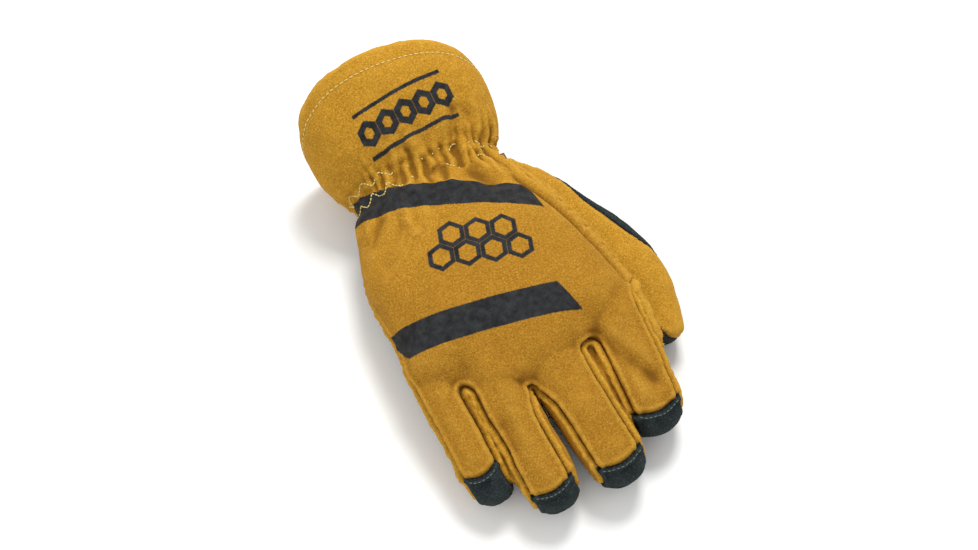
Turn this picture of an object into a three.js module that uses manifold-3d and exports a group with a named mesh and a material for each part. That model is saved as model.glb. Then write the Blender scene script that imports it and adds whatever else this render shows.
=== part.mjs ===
// A right-hand leather work glove for structural firefighting, lying palm down.
// Millimetres, +Z up. The fingers point to -Y, the thumb is on the +X side, and the
// origin is on the flat underside of the palm, which lies on the plane z = 0.
import * as THREE from 'three';
import { LoftGeometry } from 'three/addons/geometries/LoftGeometry.js';
import { mergeVertices } from 'three/addons/utils/BufferGeometryUtils.js';
import Module from 'manifold-3d';

const wasm = await Module();
wasm.setup();

// Leather and seams
const wall = 2.4; // split cowhide with its bonded backing
const seamGap = 0.3; // left open between two pieces along a seam
const hemDepth = 14; // how far the rim is turned inside
const hemThickness = 1.6; // skived before it is turned

// Cuff, wrist and hand
const cuffLength = 48; // wrist elastic to the rim, along the side
const cuffWidth = 113;
const cuffHeight = 86;
const rimReach = 17; // the back of the rim stands this much further out than its sides
const rimShort = 4; // and the underside this much less
const rimSkew = 2.5; // longer on the little finger's side, shorter on the thumb's
const wristY = 101;
const wristWidth = 88;
const wristHeight = 51;
const wristLift = 3; // the elastic draws the underside off the ground
const handLength = 139; // wrist elastic to the front between the fingers
const handWidth = 133;
const handShift = 10; // the hand widens towards the thumb
const handHeight = 57;
const knuckleTilt = 0.07; // rise of the back per millimetre towards the thumb

// Gathers that the elastic draws in, counted round the wrist
const gatherCount = 12;
const gatherDepth = 1.8;
const gatherReachCuff = 12;
const gatherReachHand = 20;

// Fingers. Each root lies inside the hand, and each tip rests on the ground.
const rootAlong = 0.597; // share of the hand's length from the wrist to the roots
const rootY = wristY - rootAlong * handLength;
const fingerLength = 127; // middle finger, root to tip
const fingerWidth = 39;
const fingerDepth = 34;
const capLength = 16; // leather rolled over the fingertip
const rootFull = 0.6; // a finger starts narrower inside the hand
const rootEase = 0.3; // and is full after this share of its length
const tipTaper = 0.84;
const fingerRound = 0.65; // stretch that the tip rounds off over, share of the depth
const tipPower = 2.5; // 2 rounds a tip off as a circle, more makes it blunter
const digitPower = 0.8; // 1 makes a digit's section an ellipse, less makes it boxier
const seamRise = 0.78; // back seam, share of the half depth above the middle line
const seamDrop = 0.5; // palm seam, share of the half depth below it
const seamStep = [0.35, 0.65]; // a seam changes height between these shares of a gap
const capShare = 0.85; // width of the fingertip leather between the side strips
// out: share of the hand's width from its middle. rise: share of the hand's height.
// long, wide, deep and cap: shares of the middle finger's. yaw and roll in degrees.
const fingerRows = [
  { name: 'little', out: -0.4, rise: 0.46, long: 0.83, wide: 0.77, deep: 0.85, cap: 1.3, yaw: 2.5, roll: -20 },
  { name: 'ring', out: -0.235, rise: 0.52, long: 0.98, wide: 0.92, deep: 0.94, cap: 0.95, yaw: 6, roll: -12 },
  { name: 'middle', out: 0.03, rise: 0.57, long: 1, wide: 1, deep: 1, cap: 1, yaw: 7.5, roll: -4 },
  { name: 'index', out: 0.37, rise: 0.56, long: 0.85, wide: 1.08, deep: 0.97, cap: 1, yaw: 0, roll: 4 },
];

// Side strips and seams along the hand, as shares of the hand's length from the wrist
const littleStripEnd = 0.2;
const littleStripFull = 0.62;
const indexStripEnd = 0.6;
const indexStripFull = 0.86;
const sideSeamRise = 0.27; // where back and palm meet, share of the hand's height

// Thumb, lying beside the index finger
const thumbWidth = 35;
const thumbDepth = 31;
const thumbRound = 0.4; // stretch that its tip rounds off over, share of the depth
const thumbFreeFrom = 0.66; // beyond this share of the hand's length it lies free

// Webbing loop in the side seam at the wrist
const loopWidth = 9;
const loopReach = 5.5;
const webbing = 1.4;

const bodySides = 48;
const bodyInnerSides = 24;
const digitSides = 14;
const digitInnerSides = 10;
const cutStep = 16; // spacing of the cutting surfaces' vertices
const farAway = 260; // cutting blocks reach past the glove
const capBlock = 65; // half width of a block that takes in one whole fingertip

const { clamp, lerp, degToRad, smoothstep } = THREE.MathUtils;

// Sections of the cuff and hand. along: share of the cuff's or hand's length from the
// wrist. wide: share of the full width; shift: share of handShift; top and bottom:
// shares of the full height; square: 2 is an ellipse, more is boxier.
const cuffSections = [
  { along: 1, wide: 0.985, shift: 0, top: 1, bottom: -0.02, square: 2.2 },
  { along: 0.75, wide: 1, shift: 0.05, top: 0.97, bottom: -0.02, square: 2.2 },
  { along: 0.48, wide: 0.985, shift: 0.08, top: 0.88, bottom: -0.015, square: 2.2 },
  { along: 0.22, wide: 0.9, shift: 0.2, top: 0.75, bottom: 0.01, square: 2.2 },
];
const handSections = [
  { along: 0.07, wide: 0.725, shift: 0.1, top: 0.985, bottom: 0.03, square: 2.2 },
  { along: 0.16, wide: 0.79, shift: 0.2, top: 1.02, bottom: -0.03, square: 2.25 },
  { along: 0.3, wide: 0.885, shift: 0.35, top: 1.04, bottom: -0.07, square: 2.3 },
  { along: 0.5, wide: 0.955, shift: 0.7, top: 1.03, bottom: -0.08, square: 2.35 },
  { along: 0.68, wide: 0.985, shift: 0.95, top: 1.0, bottom: -0.07, square: 2.4 },
  { along: 0.8, wide: 1, shift: 1.05, top: 0.95, bottom: -0.01, square: 2.4 },
  { along: 0.9, wide: 0.76, shift: 1, top: 0.86, bottom: 0.13, square: 2.4 },
  { along: 0.965, wide: 0.54, shift: 0.5, top: 0.76, bottom: 0.27, square: 2.3 },
  { along: 1, wide: 0.34, shift: 0.1, top: 0.65, bottom: 0.42, square: 2.2 },
];

// Folds pressed into the leather. from and to: across as a share of the hand's width
// from its middle, and along as a share of the hand's length from the wrist. width and
// depth: shares of the hand's height.
const folds = [
  { name: 'wrist_to_thumb', from: [-0.02, 0.05], to: [0.38, 0.24], width: 0.11, depth: 0.07 },
  { name: 'heel_of_little_side', from: [-0.35, 0.08], to: [-0.4, 0.32], width: 0.11, depth: 0.06 },
  { name: 'index_knuckle', from: [0.24, 0.86], to: [0.46, 1.0], width: 0.12, depth: 0.05 },
  { name: 'little_knuckle', from: [-0.5, 0.82], to: [-0.28, 0.88], width: 0.1, depth: 0.04 },
];

// Sections of the thumb. out: share of the hand's width from its middle; back: share of
// the hand's length from the wrist; rise: share of the hand's height; full: share of the
// thumb's width and depth; outer and inner: shares of the half depth that the seam stands
// above the middle line, on the side away from the hand and the side next to it.
const thumbSections = [
  { out: 0.1, back: 0.05, rise: 0.42, full: 0.8, roll: 0, outer: 0.1, inner: 0.7 },
  { out: 0.3, back: 0.2, rise: 0.42, full: 1.0, roll: 0, outer: 0.3, inner: 0.6 },
  { out: 0.425, back: 0.4, rise: 0.37, full: 1.07, roll: 4, outer: 1.1, inner: 0.3 },
  { out: 0.54, back: 0.58, rise: 0.31, full: 1.03, roll: 8, outer: 1.45, inner: 0.0 },
  { out: 0.582, back: 0.76, rise: 0.27, full: 0.94, roll: 10, outer: 0.5, inner: 0.0 },
  { out: 0.57, back: 0.91, rise: 0.235, full: 0.84, roll: 12, outer: -0.7, inner: 1.6 },
  { out: 0.552, back: 1.015, rise: 0.21, full: 0.76, roll: 12, outer: -2.4, inner: 4.4 },
];

// Where the seams of two neighbouring fingers turn in a U, they dip or rise a little.
// across and along: as in the folds; drop: share of the hand's height.
const seamDips = [
  { name: 'little_ring', across: -0.293, along: 0.942, drop: -0.02 },
  { name: 'ring_middle', across: -0.053, along: 1.0, drop: 0.105 },
  { name: 'middle_index', across: 0.218, along: 0.921, drop: 0.035 },
];
const dipAcross = 0.083; // width of a dip, share of the hand's width
const dipAlong = 0.086; // length of a dip, share of the hand's length

// The named sizes and the shares of them, as rows in millimetres from rim to finger front
const cuffRow = (row) => ({
  y: wristY + row.along * cuffLength,
  half: (row.wide * cuffWidth) / 2,
  middle: row.shift * handShift,
  top: row.top * cuffHeight,
  bottom: row.bottom * cuffHeight,
  square: row.square,
});
const handRow = (row) => ({
  y: wristY - row.along * handLength,
  half: (row.wide * handWidth) / 2,
  middle: row.shift * handShift,
  top: row.top * handHeight,
  bottom: row.bottom * handHeight,
  square: row.square,
});
const wristRow = {
  y: wristY,
  half: wristWidth / 2,
  middle: 0.2 * handShift,
  top: wristLift + wristHeight,
  bottom: wristLift,
  square: 2.2,
};
const bodyRows = [...cuffSections.map(cuffRow), wristRow, ...handSections.map(handRow)];

// The section at y, eased between the two rows that it lies between
function bodyAt(y) {
  let i = bodyRows.findIndex((row) => row.y <= y);
  i = i < 0 ? bodyRows.length - 1 : Math.max(i, 1);
  const [a, b] = [bodyRows[i - 1], bodyRows[i]];
  const t = clamp((a.y - y) / (a.y - b.y), 0, 1);
  const at = {};
  for (const key of Object.keys(a)) at[key] = lerp(a[key], b[key], t);
  return at;
}

function foldDepth(x, y) {
  const place = ([across, along]) =>
    new THREE.Vector2(handShift + across * handWidth, wristY - along * handLength);
  let depth = 0;
  for (const fold of folds) {
    const start = place(fold.from);
    const run = place(fold.to).sub(start);
    const p = new THREE.Vector2(x, y).sub(start);
    const t = clamp(p.dot(run) / run.lengthSq(), 0, 1);
    const away = p.sub(run.multiplyScalar(t)).length() / (fold.width * handHeight);
    depth += fold.depth * handHeight * Math.exp(-away * away);
  }
  return depth;
}

// Height of one gather at an angle round the glove. It fades away from the elastic.
function gatherAt(angle, y) {
  const reach = y > wristY ? gatherReachCuff : gatherReachHand;
  const strength = Math.exp(-(((y - wristY) / reach) ** 2));
  return gatherDepth * strength * Math.cos(gatherCount * angle);
}

const power = (value, exponent) => Math.sign(value) * Math.abs(value) ** exponent;

// A ring of the cuff and hand. grow moves it out, and a negative grow moves it in.
function bodyRing(y, grow, sides) {
  const row = bodyAt(y);
  const centre = (row.top + row.bottom) / 2;
  const half = (row.top - row.bottom) / 2;
  const cuffShare = Math.max(y - wristY, 0) / cuffLength;
  const handShare = Math.max(wristY - y, 0) / handLength;
  const ring = [];
  for (let i = 0; i < sides; i++) {
    const angle = (i / sides) * 2 * Math.PI;
    const [c, n] = [Math.cos(angle), Math.sin(angle)];
    const out = grow < 0 ? grow : grow + gatherAt(angle, y);
    const x = row.middle + power(c, 2 / row.square) * (row.half + out);
    let z = centre + power(n, 2 / row.square) * (half + out);
    if (n > 0) z += n * (knuckleTilt * handShare * (x - row.middle) - foldDepth(x, y));
    const lean = (n > 0 ? rimReach * n : rimShort * n) - rimSkew * c;
    ring.push(new THREE.Vector3(x, y + lean * Math.min(cuffShare, 1), Math.max(z, -grow)));
  }
  return ring;
}

// Shares of the cuff's and hand's length where rings stand, closer where it gathers
const cuffStations = [1, 0.72, 0.45, 0.24, 0.1];
const handStations = [0.0, 0.07, 0.14, 0.22, 0.32, 0.45, 0.58, 0.7, 0.8, 0.9, 0.965, 1];

// A closed geometry as a solid with its faces outwards
function toSolid(geometry) {
  const plain = new THREE.BufferGeometry()
    .setAttribute('position', geometry.getAttribute('position'))
    .setIndex(geometry.index);
  const merged = mergeVertices(plain, 1e-4);
  const triVerts = new Uint32Array(merged.index.array);
  const vertProperties = merged.attributes.position.array;
  const build = () => new wasm.Manifold(new wasm.Mesh({ numProp: 3, vertProperties, triVerts }));
  const made = build();
  if (made.volume() > 0) return made;
  for (let i = 0; i < triVerts.length; i += 3)
    [triVerts[i + 1], triVerts[i + 2]] = [triVerts[i + 2], triVerts[i + 1]];
  return build();
}

const loft = (rings) => toSolid(new LoftGeometry(rings, { capStart: true, capEnd: true }));

// The cuff and hand without fingers. A hollow one runs out past the rim.
function bodySolid(grow) {
  const stations = [
    ...cuffStations.map((share) => wristY + share * cuffLength),
    ...handStations.map((share) => wristY - share * handLength),
  ];
  if (grow < 0) stations.unshift(wristY + 2 * cuffLength);
  stations[stations.length - 1] -= grow;
  const sides = grow < 0 ? bodyInnerSides : bodySides;
  return loft(stations.map((y) => bodyRing(y, grow, sides)));
}

// The pitch at the tip that brings a finger down by drop, found by halving
function tipPitch(length, drop) {
  let [low, high] = [0.01, 1.5];
  for (let i = 0; i < 40; i++) {
    const middle = (low + high) / 2;
    if ((length * (1 - Math.cos(middle))) / middle < drop) low = middle;
    else high = middle;
  }
  return low;
}

// Turns a level frame about the digit's own direction
function rolled(side, back, roll) {
  const [c, n] = [Math.cos(roll), Math.sin(roll)];
  return {
    across: side.clone().multiplyScalar(c).addScaledVector(back, -n),
    back: back.clone().multiplyScalar(c).addScaledVector(side, n),
  };
}

// A finger's middle line is an arc that leaves the hand level and curls down.
function fingerLine(finger) {
  const x = handShift + finger.out * handWidth;
  const root = new THREE.Vector3(x, rootY, finger.rise * handHeight);
  const pitch = tipPitch(finger.length, root.z - (finger.depth * tipTaper) / 2);
  const bend = pitch / finger.length;
  const yaw = degToRad(finger.yaw);
  const forward = new THREE.Vector3(Math.sin(yaw), -Math.cos(yaw), 0);
  const side = new THREE.Vector3(Math.cos(yaw), Math.sin(yaw), 0);
  const up = new THREE.Vector3(0, 0, 1);
  const at = (s) => {
    const turn = bend * s;
    const along = forward.clone().multiplyScalar(Math.cos(turn)).addScaledVector(up, -Math.sin(turn));
    const back = forward.clone().multiplyScalar(Math.sin(turn)).addScaledVector(up, Math.cos(turn));
    const middle = root.clone()
      .addScaledVector(forward, Math.sin(turn) / bend)
      .addScaledVector(up, (Math.cos(turn) - 1) / bend);
    return { middle, along, ...rolled(side, back, degToRad(finger.roll)) };
  };
  // Place and height of the middle line where it passes a given y
  const above = (y) => {
    const reach = (root.y - y) / Math.cos(yaw);
    const onArc = clamp(reach, 0, Math.sin(pitch) / bend);
    const turn = Math.asin(onArc * bend);
    const beyond = Math.max(reach - onArc, 0);
    return {
      x: root.x + Math.tan(yaw) * (root.y - y),
      z: root.z - (1 - Math.cos(turn)) / bend - beyond * Math.tan(pitch),
      taper: lerp(1, tipTaper, turn / pitch),
    };
  };
  return { finger, at, above };
}
const fingers = fingerRows.map((row) => ({
  ...row,
  length: row.long * fingerLength,
  width: row.wide * fingerWidth,
  depth: row.deep * fingerDepth,
  cap: row.cap * capLength,
}));
const fingerLines = fingers.map(fingerLine);

// Rounds a digit off over the last stretch before its tip
function tipRound(s, length, stretch) {
  const t = clamp((s - length + stretch) / stretch, 0, 1);
  return (1 - t ** tipPower) ** (1 / tipPower);
}

function digitRing(frame, halfWidth, halfDepth, sides, floor) {
  const ring = [];
  for (let i = 0; i < sides; i++) {
    const angle = ((i + 0.5) / sides) * 2 * Math.PI;
    const point = frame.middle.clone()
      .addScaledVector(frame.across, power(Math.cos(angle), digitPower) * halfWidth)
      .addScaledVector(frame.back, power(Math.sin(angle), digitPower) * halfDepth);
    point.z = Math.max(point.z, floor);
    ring.push(point);
  }
  return ring;
}

// Stations along a digit, as shares of its straight stretch and of its rounded tip
const straightStations = [0, 0.3, 0.5, 0.7, 0.87];
const tipStations = [0, 0.38, 0.66, 0.87, 0.975];

function digitStations(length, stretch) {
  const straight = straightStations.map((share) => share * (length - stretch));
  return [...straight, ...tipStations.map((share) => length - stretch + share * stretch)];
}

function fingerSolid({ finger, at }, grow) {
  const length = finger.length + grow;
  const stretch = finger.depth * fingerRound;
  const sides = grow < 0 ? digitInnerSides : digitSides;
  return loft(digitStations(length, stretch).map((s) => {
    const round = tipRound(s, length, stretch);
    const root = lerp(rootFull, 1, smoothstep(s / length, 0, rootEase));
    const full = root * lerp(1, tipTaper, s / length);
    const halfWidth = ((finger.width / 2) * full + grow) * round;
    const halfDepth = ((finger.depth / 2) * full + grow) * round;
    return digitRing(at(s), halfWidth, halfDepth, sides, -grow);
  }));
}

const thumbPoints = thumbSections.map((row) => new THREE.Vector3(
  handShift + row.out * handWidth,
  wristY - row.back * handLength,
  row.rise * handHeight,
));
const thumbCurve = new THREE.CatmullRomCurve3(thumbPoints, false, 'centripetal');

// A frame of the thumb at a share of its length, with its size and seam there
function thumbAt(share) {
  const place = clamp(share, 0, 1) * (thumbSections.length - 1);
  const i = Math.min(Math.floor(place), thumbSections.length - 2);
  const ease = (key) => lerp(thumbSections[i][key], thumbSections[i + 1][key], place - i);
  const t = place / (thumbSections.length - 1);
  const along = thumbCurve.getTangent(t);
  const side = new THREE.Vector3(-along.y, along.x, 0).normalize();
  const back = along.clone().cross(side).normalize();
  if (back.z < 0) back.negate();
  return {
    middle: thumbCurve.getPoint(t),
    along,
    ...rolled(side, back, degToRad(ease('roll'))),
    full: ease('full'),
    outer: ease('outer'),
    inner: ease('inner'),
  };
}

function thumbSolid(grow) {
  const length = thumbCurve.getLength() + grow;
  const stretch = thumbDepth * thumbRound;
  const sides = grow < 0 ? digitInnerSides : digitSides;
  return loft(digitStations(length, stretch).map((s) => {
    const frame = thumbAt(s / thumbCurve.getLength());
    const round = tipRound(s, length, stretch);
    frame.middle.addScaledVector(frame.along, Math.max(s - thumbCurve.getLength(), 0));
    const halfWidth = ((thumbWidth / 2) * frame.full + grow) * round;
    const halfDepth = ((thumbDepth / 2) * frame.full + grow) * round;
    return digitRing(frame, halfWidth, halfDepth, sides, -grow);
  }));
}

function handSolid(grow) {
  return fingerLines.reduce((made, line) => made.add(fingerSolid(line, grow)), bodySolid(grow));
}

// How much the seams dip at a place between two fingers
function seamDip(x, y) {
  return seamDips.reduce((sum, { across, along, drop }) => {
    const u = (x - handShift - across * handWidth) / (dipAcross * handWidth);
    const v = (y - wristY + along * handLength) / (dipAlong * handLength);
    return sum + drop * handHeight * Math.exp(-u * u - v * v);
  }, 0);
}

// Height of a seam over a place, from the fingers' middle lines on either side of it.
// share is of the half depth, and a negative share lies below the middle line.
function fingerSeamHeight(share, x, y) {
  const spots = fingerLines.map(({ finger, above }) => {
    const spot = above(y);
    const half = (finger.width / 2) * spot.taper;
    const tilt = -Math.tan(degToRad(finger.roll)) * clamp(x - spot.x, -half, half);
    return { x: spot.x, z: spot.z + share * (finger.depth / 2) * spot.taper + tilt };
  });
  if (x <= spots[0].x) return spots[0].z;
  for (let i = 1; i < spots.length; i++) {
    const [a, b] = [spots[i - 1], spots[i]];
    const [from, to] = seamStep.map((step) => lerp(a.x, b.x, step));
    if (x <= b.x) return lerp(a.z, b.z, smoothstep(x, from, to));
  }
  return spots[spots.length - 1].z;
}

// The seams of the fingers run back along the sides of the hand and meet there.
function seamHeight(share, x, y) {
  const along = (wristY - y) / handLength;
  const [end, full] = x < handShift
    ? [littleStripEnd, littleStripFull]
    : [indexStripEnd, indexStripFull];
  const side = sideSeamRise * handHeight;
  const fingers = fingerSeamHeight(share, x, y) - seamDip(x, y);
  return lerp(side, fingers, smoothstep(along, end, full));
}

// Everything above a height over the ground plane
function over(heightAt) {
  const segments = Math.round((2 * farAway) / cutStep);
  const geometry = new THREE.BoxGeometry(2 * farAway, 2 * farAway, 1, segments, segments, 1);
  const position = geometry.getAttribute('position');
  for (let i = 0; i < position.count; i++) {
    const height = heightAt(position.getX(i), position.getY(i));
    position.setZ(i, position.getZ(i) > 0 ? farAway : height);
  }
  return toSolid(geometry);
}

// A box that starts a given length before a fingertip, with a given half width
function tipBox({ finger, at }, length, halfWidth) {
  const frame = at(finger.length - length);
  const geometry = new THREE.BoxGeometry(2 * halfWidth, farAway, farAway);
  const inwards = frame.across.clone().negate();
  const basis = new THREE.Matrix4().makeBasis(inwards, frame.along, frame.back);
  geometry.translate(0, farAway / 2, 0);
  geometry.applyMatrix4(basis.setPosition(frame.middle));
  return toSolid(geometry);
}

const slab = (fromY, toY) => toSolid(
  new THREE.BoxGeometry(2 * farAway, toY - fromY, 2 * farAway).translate(0, (fromY + toY) / 2, 0),
);

const half = seamGap / 2;
const backSeam = (move) => (x, y) => seamHeight(seamRise, x, y) + move;
const palmSeam = (move) => (x, y) => seamHeight(-seamDrop, x, y) + move;

const outer = handSolid(0);
const inner = handSolid(-wall);
const thumbHollow = thumbSolid(-wall);
const freeThumbY = wristY - thumbFreeFrom * handLength;
const indexLine = fingerLines[fingers.length - 1];
const besideThumb = (grow) => fingerSolid(indexLine, grow)
  .add(bodySolid(grow).intersect(slab(-farAway, freeThumbY)));
const thumbInside = thumbHollow.subtract(besideThumb(seamGap + wall));
const shell = outer.subtract(inner).subtract(thumbInside);

const tipZone = (line, extra) => tipBox(line, line.finger.cap + extra, capBlock)
  .intersect(fingerSolid(line, seamGap + extra));
const allTips = (extra) => fingerLines
  .map((line) => tipZone(line, extra))
  .reduce((made, zone) => made.add(zone));
const capZone = (line, extra) => {
  const halfWidth = capShare * (line.finger.width / 2) * tipTaper;
  return tipBox(line, line.finger.cap + extra, halfWidth + extra).intersect(tipZone(line, extra));
};
const largest = (solid) => solid.decompose().reduce((a, b) => (b.volume() > a.volume() ? b : a));

const abovePalmSeam = over(palmSeam(half));
const backPanel = largest(shell.intersect(over(backSeam(half))).subtract(allTips(seamGap)));
const underside = shell.subtract(over(palmSeam(-half)));
const palmPanel = largest(underside.intersect(slab(-farAway, wristY - half)));
const cuffPalm = largest(underside.intersect(slab(wristY + half, farAway)));
const caps = fingerLines.map((line) =>
  largest(shell.intersect(capZone(line, 0)).intersect(abovePalmSeam)));

// The side strips lie between the two seams, and run out beside the fingertip leather.
const aboveBackSeam = over(backSeam(-half)).subtract(allTips(0));
let strips = shell.intersect(abovePalmSeam).subtract(aboveBackSeam);
for (const line of fingerLines) strips = strips.subtract(capZone(line, seamGap));
const stripPieces = strips.decompose()
  .sort((a, b) => b.volume() - a.volume())
  .slice(0, fingers.length + 1)
  .sort((a, b) => a.boundingBox().min[0] - b.boundingBox().min[0]);

const thumbShell = thumbSolid(0)
  .subtract(handSolid(seamGap))
  .subtract(thumbInside);

// Everything above the thumb's seam, as a loft of upright sections along the thumb
function overThumbSeam(move) {
  const shares = [0, 0.17, 0.33, 0.5, 0.67, 0.83, 1];
  const reach = thumbWidth;
  return loft(shares.map((share) => {
    const frame = thumbAt(share);
    const deep = (frame.full * thumbDepth) / 2;
    if (share === 1) frame.middle.addScaledVector(frame.along, reach);
    const corner = (across, back) => frame.middle.clone()
      .addScaledVector(frame.across, across)
      .addScaledVector(frame.back, back);
    return [
      corner(-reach, frame.inner * deep + move),
      corner(reach, frame.outer * deep + move),
      corner(reach, 2 * reach),
      corner(-reach, 2 * reach),
    ];
  }));
}
const thumbBack = largest(thumbShell.intersect(overThumbSeam(half)));
const thumbPalm = largest(thumbShell.subtract(overThumbSeam(-half)));

// The rim turned inside: a short sleeve just clear of the cuff's inner face
function hemSolid() {
  const clear = wall + 2 * seamGap;
  const end = 1 - hemDepth / cuffLength;
  const sleeve = (grow, shares) => loft(shares.map(
    (share) => bodyRing(wristY + share * cuffLength, grow, bodyInnerSides)));
  const past = 0.1;
  return sleeve(-clear, [1, (1 + end) / 2, end])
    .subtract(sleeve(-clear - hemThickness, [1 + past, 1, (1 + end) / 2, end, end - past]));
}

// A loop of folded webbing that stands out of the side seam
function loopSolid() {
  const shape = new THREE.Shape();
  const reach = loopReach;
  shape.moveTo(0, webbing);
  shape.lineTo(reach - webbing, webbing);
  shape.absarc(reach - webbing, 0, webbing, Math.PI / 2, -Math.PI / 2, true);
  shape.lineTo(0, -webbing);
  shape.closePath();
  const geometry = new THREE.ExtrudeGeometry(shape, {
    depth: loopWidth, bevelEnabled: false, curveSegments: 3,
  });
  geometry.rotateX(Math.PI / 2);
  const side = bodyAt(wristY);
  geometry.translate(side.middle + side.half, wristY, (side.top + side.bottom) / 2);
  return toSolid(geometry).subtract(handSolid(seamGap)).subtract(thumbSolid(seamGap));
}

const suede = { color: 0xc58e2c, roughness: 0.93, metalness: 0 };
const darkLeather = { color: 0x1b2226, roughness: 0.8, metalness: 0 };
const webbingCloth = { color: 0x3a3b30, roughness: 0.9, metalness: 0 };

const glove = new THREE.Group();
function place(name, solid, finish) {
  const { vertProperties, triVerts } = solid.getMesh();
  const geometry = new THREE.BufferGeometry()
    .setAttribute('position', new THREE.BufferAttribute(vertProperties, 3))
    .setIndex(new THREE.BufferAttribute(triVerts, 1));
  geometry.computeVertexNormals();
  const mesh = new THREE.Mesh(geometry, new THREE.MeshStandardMaterial(finish));
  mesh.name = name;
  glove.add(mesh);
}

place('back_panel', backPanel, suede);
place('palm_panel', palmPanel, darkLeather);
place('cuff_palm', cuffPalm, suede);
place('cuff_hem', hemSolid(), suede);
fingers.forEach(({ name }, i) => place(`fingertip_${name}`, caps[i], darkLeather));
const stripNames = ['side_strip_little'];
for (let i = 1; i < fingers.length; i++)
  stripNames.push(`fourchette_${fingers[i - 1].name}_${fingers[i].name}`);
stripNames.push('side_strip_index');
stripNames.forEach((name, i) => place(name, stripPieces[i], suede));
place('thumb_back', thumbBack, suede);
place('thumb_palm', thumbPalm, darkLeather);
place('wrist_loop', loopSolid(), webbingCloth);

export default glove;
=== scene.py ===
# %% [markdown]
# # A firefighter's leather glove
# A right-hand work glove in gold split cowhide, lying palm down. Its back is one cut piece
# gathered by an elastic at the wrist. Side strips join it to a dark palm, and the dark
# leather of the palm rolls over each fingertip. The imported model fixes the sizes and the
# place of every piece, and this lesson gives each piece its real surface.

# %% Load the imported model
import math

import bmesh
import bpy
import numpy as np
from mathutils import Matrix, Vector, noise
from mathutils.bvhtree import BVHTree
from mathutils.kdtree import KDTree


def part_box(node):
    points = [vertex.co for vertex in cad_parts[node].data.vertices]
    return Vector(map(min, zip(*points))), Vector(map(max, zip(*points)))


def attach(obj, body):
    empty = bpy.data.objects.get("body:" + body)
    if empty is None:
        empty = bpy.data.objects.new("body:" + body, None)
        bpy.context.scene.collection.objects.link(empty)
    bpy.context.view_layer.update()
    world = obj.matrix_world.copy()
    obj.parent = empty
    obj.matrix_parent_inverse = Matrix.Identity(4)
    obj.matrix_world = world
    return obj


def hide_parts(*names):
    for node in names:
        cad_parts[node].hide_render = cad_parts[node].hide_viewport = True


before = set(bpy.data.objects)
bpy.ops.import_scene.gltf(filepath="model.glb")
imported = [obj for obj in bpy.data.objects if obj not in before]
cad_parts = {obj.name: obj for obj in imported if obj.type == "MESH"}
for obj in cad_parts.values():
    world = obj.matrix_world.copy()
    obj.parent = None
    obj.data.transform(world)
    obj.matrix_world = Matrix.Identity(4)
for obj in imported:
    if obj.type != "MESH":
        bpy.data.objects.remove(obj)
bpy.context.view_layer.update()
print("nodes", sorted(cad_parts))

# %% [markdown]
# ## Sizes
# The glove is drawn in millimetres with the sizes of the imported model, and scaled to metres
# when a mesh is made. Sections are rows of shares of the named sizes. A smooth curve through
# the rows gives a section anywhere, which suits leather better than straight steps.

# %% Sizes of the cuff and hand
MM = 0.001
wall, hem_wall = 2.2, 1.5
cuff_length, cuff_width, cuff_height = 48, 113, 86
rim_reach, rim_short, rim_skew = 17, 4, 2.5
wrist_y, wrist_width, wrist_height, wrist_lift = 101, 88, 51, 3
hand_length, hand_width, hand_shift, hand_height = 139, 133, 10, 57
knuckle_tilt = 0.07
hem_depth, lip_radius = 13.5, 2.1
# along, wide, shift, top, bottom, square
cuff_rows = [
    (1, 0.985, 0, 1, -0.02, 2.2),
    (0.75, 1, 0.05, 0.97, -0.02, 2.2),
    (0.48, 0.985, 0.08, 0.88, -0.015, 2.2),
    (0.22, 0.9, 0.2, 0.75, 0.01, 2.2),
]
hand_rows = [
    (0.07, 0.725, 0.1, 0.985, 0.03, 2.2),
    (0.16, 0.79, 0.2, 1.02, -0.03, 2.25),
    (0.3, 0.885, 0.35, 1.04, -0.07, 2.3),
    (0.5, 0.955, 0.7, 1.03, -0.08, 2.35),
    (0.68, 0.985, 0.95, 1.0, -0.07, 2.4),
    (0.8, 1, 1.05, 0.95, -0.01, 2.4),
    (0.9, 0.76, 1, 0.86, 0.13, 2.4),
    (0.965, 0.54, 0.5, 0.76, 0.27, 2.3),
    (1, 0.34, 0.1, 0.65, 0.42, 2.2),
]
wrist_row = (
    wrist_y, wrist_width / 2, 0.2 * hand_shift, wrist_lift + wrist_height, wrist_lift, 2.2,
)


def in_mm(row, length, width, height, sense):
    along, wide, shift, top, bottom, square = row
    y = wrist_y + sense * along * length
    return (y, wide * width / 2, shift * hand_shift, top * height, bottom * height, square)


body = np.array(
    [in_mm(r, cuff_length, cuff_width, cuff_height, 1) for r in cuff_rows]
    + [wrist_row]
    + [in_mm(r, hand_length, hand_width, hand_height, -1) for r in hand_rows]
)
print("sections of the cuff and hand", len(body))


# %% A smooth curve through the rows of a table
def eased(knots, values, at):
    at = np.clip(at, knots[0], knots[-1])
    slopes = np.gradient(values, knots, axis=0)
    i = np.clip(np.searchsorted(knots, at) - 1, 0, len(knots) - 2)
    span = (knots[i + 1] - knots[i])[..., None]
    t = ((at - knots[i]) / (knots[i + 1] - knots[i]))[..., None]
    start, end = values[i], values[i + 1]
    bend = (t - 1) * slopes[i] * t * (t - 1) + (t - 1) * slopes[i + 1] * t * t
    return start + (end - start) * t * t * (3 - 2 * t) + span * bend


def body_row(y):
    """Half width, middle, top, bottom and squareness of the section at y."""
    return np.moveaxis(eased(-body[:, 0], body[:, 1:], -np.asarray(y, float)), -1, 0)


def power(value, exponent):
    return np.sign(value) * np.abs(value) ** exponent


def smooth(value, start, end):
    t = np.clip((value - start) / (end - start), 0, 1)
    return t * t * (3 - 2 * t)


print("wrist half width", round(float(body_row([wrist_y])[0][0]), 1))

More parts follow.
